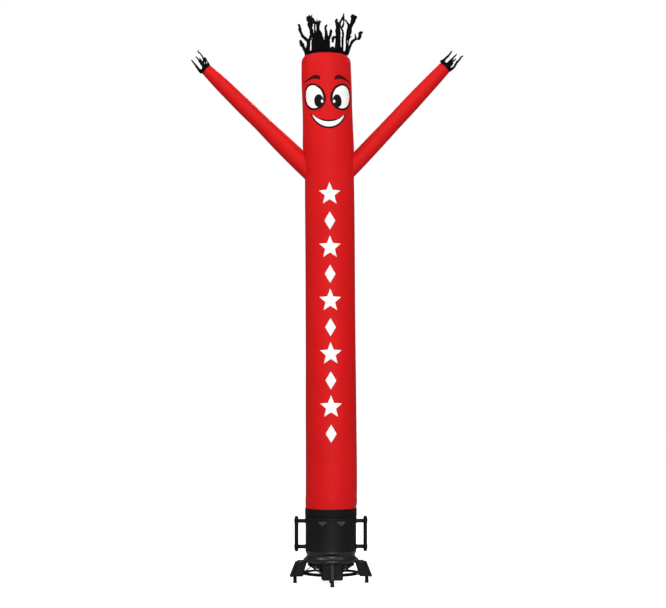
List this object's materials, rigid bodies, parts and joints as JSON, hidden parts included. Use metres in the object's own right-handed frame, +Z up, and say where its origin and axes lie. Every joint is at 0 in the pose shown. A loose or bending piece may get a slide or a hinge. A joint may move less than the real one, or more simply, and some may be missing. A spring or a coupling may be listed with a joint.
{
  "type": "inflatable air dancer with blower",
  "caption": "Upright inflated cloth tube with raised tapered arms, fringe hair and fringed hands, strapped to a floor blower with grips, splayed legs, an intake guard and a coiled cord.",
  "frame": {"origin": "on the ground, under the middle of the whole width, 35 mm left of the blower's upright axis", "axes": "+Z up along the body tube, +X towards the dancer's arm on the viewer's right, -Y the front with the face"},
  "size_m": [2.5398, 0.7614, 5.2182],
  "materials": {
    "red_cloth": "coated ripstop nylon, soft sheen",
    "black_cloth": "cut strips of the same nylon in black",
    "strap_webbing": "woven webbing",
    "housing_plastic": "moulded, fine grain",
    "lug_plastic": "moulded, satin",
    "grip_plastic": "moulded, satin",
    "leg_plastic": "moulded, fine grain",
    "guard_plastic": "moulded, fine grain",
    "foot_rubber": "plain",
    "cord_rubber": "plain"
  },
  "bodies": {
    "root": {"body_tube": "red_cloth", "crown_panel": "red_cloth", "arm_left": "red_cloth", "arm_right": "red_cloth", "hair_fringe": "black_cloth", "finger_fringe_left": "black_cloth", "finger_fringe_right": "black_cloth", "neck_strap": "strap_webbing", "blower_neck": "housing_plastic", "blower_barrel": "housing_plastic", "blower_base": "housing_plastic", "tie_lug_1": "lug_plastic", "tie_lug_2": "lug_plastic", "tie_lug_3": "lug_plastic", "tie_lug_4": "lug_plastic", "grip_left": "grip_plastic", "grip_right": "grip_plastic", "bracket_left_upper": "grip_plastic", "bracket_left_lower": "grip_plastic", "bracket_right_upper": "grip_plastic", "bracket_right_lower": "grip_plastic", "leg_front": "leg_plastic", "leg_right": "leg_plastic", "leg_back": "leg_plastic", "leg_left": "leg_plastic", "intake_guard": "guard_plastic", "foot_front": "foot_rubber", "foot_right": "foot_rubber", "foot_back": "foot_rubber", "foot_left": "foot_rubber", "cord_gland": "cord_rubber", "cord_coil": "cord_rubber", "cord_lead": "cord_rubber", "cord_tail": "cord_rubber", "cord_plug": "cord_rubber"}
  },
  "joints": []
}
